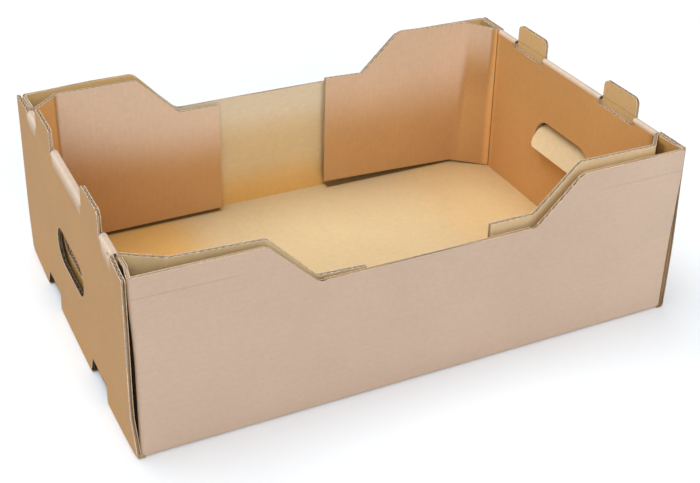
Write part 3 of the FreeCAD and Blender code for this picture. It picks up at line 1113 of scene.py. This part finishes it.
def flap_grids(step):
    """Grid over a hand flap: pairs are the height above its lower edge's level and the place across it."""
    length = HOLE_LENGTH - 2 * FLAP_GAP
    height = HINGE_HEIGHT - (HOLE_MIDDLE - HOLE_HEIGHT / 2) - FLAP_GAP
    across = stations(np.concatenate([round_keys(0, length / 2, height / 2), [0]]), step)
    half = oval_half(across, length, height)
    middle = HINGE_HEIGHT - height / 2
    keep = np.abs(across) < length / 2 - 1e-7
    across, half = across[keep], half[keep]
    foot = np.maximum(middle - half, middle - height / 2 + FLAP_TRIM)
    return [ruled(pairs(foot, across), pairs(middle + half, across), np.linspace(0, 1, 7))]


def flap_outer_tint(turn):
    """Outer face of a hand flap: the end wall's painted shade, and darker painted shade on the left one for
    its hole.
    """
    def tint(height, across):
        return np.full_like(height, END_WALL_SHADE_TINT if turn > 0 else LEFT_FLAP_SHADE_TINT)
    return tint


def flap_sheet(turn, tilt):
    """Turns the flap about the crease along its hole's upper edge.

    The flap is upright in the end wall, then each point turns by the tilt about the hinge line.
    """
    inner_face = HALF_LENGTH - BOARD

    def place(height, across, depth):
        out = HALF_LENGTH - depth - inner_face
        down = height - HINGE_HEIGHT
        x = inner_face + out * math.cos(tilt) + down * math.sin(tilt)
        z = HINGE_HEIGHT - out * math.sin(tilt) + down * math.cos(tilt)
        return np.stack([turn * x, turn * across, z], -1)
    return place


def flap_core_tint(height, across):
    """Core of the left hand flap: dark, as its lower edge lies in the shade of its hole."""
    return np.full_like(height, 3.8)


def flap_inner_tint(height, across):
    """Inner face of a hand flap: painted bright and a little paler for the light on it."""
    return np.full_like(height, 0.45)


class TRAY_OT_hand_flaps(bpy.types.Operator):
    """The flap of each hand hole: two face papers and the fluted core between them"""

    bl_idname = "tray.hand_flaps"
    bl_label = "Hand flaps"

    def execute(self, context):
        sizes = context.scene.tray_sizes
        depth = lambda across, length: wave(across, length, sizes)
        for name, turn, tilt in FLAPS:
            place = flap_sheet(turn, tilt)
            sheet = Sheet()
            sheet.add(flap_grids(sizes.end_step), place, 0.0, -1, 1, flap_outer_tint(turn))
            piece = new_piece(name + "_outer_paper", sheet, sizes.liner, -1, "outer_face", name)
            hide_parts(name)
            sheet = Sheet()
            sheet.add(flap_grids(sizes.end_step), place, sizes.board, 1, 1, flap_inner_tint)
            new_piece(name + "_inner_paper", sheet, sizes.liner, -1, "inner_face", name)
            sheet = Sheet()
            core_tint = flap_core_tint if turn < 0 else None
            sheet.add(flap_grids(sizes.pitch / WAVE_POINTS), place, depth, 1, 1, core_tint)
            new_piece(name + "_flutes", sheet, sizes.medium, 0, "core_paper", name)
        return {"FINISHED"}


FOCAL_PIXELS = 1233.3
AXIS_PIXEL_DOWN = 185.0
CAMERA_PLACE = (-516.4 * MM, -1053.3 * MM, 772.7 * MM)
CAMERA_AZIMUTH = 26.58
CAMERA_ELEVATION = 29.13
CAMERA_ROLL = 1.41
SENSOR_WIDTH = 36.0


def add_camera():
    """The camera: placed in metres, aimed by azimuth and elevation, and rolled about its axis."""
    data = bpy.data.cameras.new("camera")
    data.sensor_fit = "HORIZONTAL"
    data.sensor_width = SENSOR_WIDTH
    data.lens = FOCAL_PIXELS / IMAGE_WIDTH * SENSOR_WIDTH
    data.shift_y = (AXIS_PIXEL_DOWN - IMAGE_HEIGHT / 2) / IMAGE_WIDTH
    data.clip_start, data.clip_end = 0.05, 50
    camera = bpy.data.objects.new("camera", data)
    turn, rise = math.radians(CAMERA_AZIMUTH), math.radians(CAMERA_ELEVATION)
    forward = Vector((math.sin(turn) * math.cos(rise), math.cos(turn) * math.cos(rise), -math.sin(rise)))
    level = Vector((forward.y, -forward.x, 0)).normalized()
    right = Matrix.Rotation(math.radians(-CAMERA_ROLL), 3, forward) @ level
    up = right.cross(forward)
    aim = Matrix((right, up, -forward)).transposed().to_4x4()
    camera.matrix_world = Matrix.Translation(CAMERA_PLACE) @ aim
    bpy.context.scene.collection.objects.link(camera)
    bpy.context.scene.camera = camera


WORLD_LEVEL = 0.16
FLOOR_GLOW = 0.09
FLOOR_REACH = 20.0


def add_lamp(name, level, rise, azimuth, spread):
    """A wide soft lamp far away: level is the light on a face turned to it, and azimuth is from the
    front, + to the right."""
    data = bpy.data.lights.new(name, "SUN")
    data.energy = level * math.pi
    data.angle = math.radians(spread)
    lamp = bpy.data.objects.new(name, data)
    rise, azimuth = math.radians(rise), math.radians(azimuth)
    away = Vector((math.cos(rise) * math.sin(azimuth), -math.cos(rise) * math.cos(azimuth), math.sin(rise)))
    lamp.rotation_mode = "QUATERNION"
    lamp.rotation_quaternion = (-away).to_track_quat("-Z", "Y")
    lamp.location = 2 * away
    bpy.context.scene.collection.objects.link(lamp)


class TRAY_OT_stage(bpy.types.Operator):
    """The pale floor, the soft lamps, the white surroundings and the camera"""

    bl_idname = "tray.stage"
    bl_label = "Stage"

    def execute(self, context):
        scene = context.scene
        side = FLOOR_REACH
        mesh = bpy.data.meshes.new("floor")
        corners = [(-side, -side, 0), (side, -side, 0), (side, side, 0), (-side, side, 0)]
        mesh.from_pydata(corners, [], [(0, 1, 2, 3)])
        floor = bpy.data.objects.new("floor", mesh)
        scene.collection.objects.link(floor)
        tree = Tree("floor")
        seen = tree.node("ShaderNodeLightPath", output="Is Camera Ray")
        plain = tree.node("ShaderNodeBsdfDiffuse", inputs={"Color": rgba(scene.tray_colours.floor)})
        glow = tree.node("ShaderNodeEmission", inputs={"Color": (1, 1, 1, 1), "Strength": seen * FLOOR_GLOW})
        mesh.materials.append(tree.finish(tree.node("ShaderNodeAddShader", inputs=[plain, glow])))

        world = bpy.data.worlds.new("surroundings")
        scene.world = world
        world.use_nodes = True
        nodes, links = world.node_tree.nodes, world.node_tree.links
        nodes.clear()
        path = nodes.new("ShaderNodeLightPath")
        level = nodes.new("ShaderNodeMapRange")
        level.inputs["To Min"].default_value = WORLD_LEVEL
        level.inputs["To Max"].default_value = 1.0
        background = nodes.new("ShaderNodeBackground")
        output = nodes.new("ShaderNodeOutputWorld")
        links.new(path.outputs["Is Camera Ray"], level.inputs["Value"])
        links.new(level.outputs["Result"], background.inputs["Strength"])
        links.new(background.outputs["Background"], output.inputs["Surface"])

        add_lamp("overhead_lamp", level=0.80, rise=75, azimuth=-135, spread=58)
        add_lamp("front_lamp", level=0.54, rise=28, azimuth=-10, spread=50)
        add_camera()
        scene.view_settings.view_transform = "Standard"
        return {"FINISHED"}


class TRAY_PT_panel(bpy.types.Panel):
    """The tray's pieces and sizes in the sidebar"""

    bl_label = "Tray"
    bl_idname = "TRAY_PT_panel"
    bl_space_type = "VIEW_3D"
    bl_region_type = "UI"
    bl_category = "Tray"

    def draw(self, context):
        for operator in PIECES:
            self.layout.operator(operator.bl_idname)
        for group in (context.scene.tray_sizes, context.scene.tray_colours):
            for name in group.__annotations__:
                self.layout.prop(group, name)


PIECES = (TRAY_OT_outer_face, TRAY_OT_inner_face, TRAY_OT_core, TRAY_OT_hand_flaps, TRAY_OT_stage)
CLASSES = (TraySizes, TrayColours, *PIECES, TRAY_PT_panel)


def register():
    for cls in CLASSES:
        bpy.utils.register_class(cls)
    bpy.types.Scene.tray_sizes = bpy.props.PointerProperty(type=TraySizes)
    bpy.types.Scene.tray_colours = bpy.props.PointerProperty(type=TrayColours)


def unregister():
    del bpy.types.Scene.tray_colours
    del bpy.types.Scene.tray_sizes
    for cls in reversed(CLASSES):
        bpy.utils.unregister_class(cls)


def main():
    register()
    bpy.ops.tray.outer_face()
    bpy.ops.tray.inner_face()
    bpy.ops.tray.core()
    bpy.ops.tray.hand_flaps()
    bpy.ops.tray.stage()


if __name__ == "__main__":
    main()
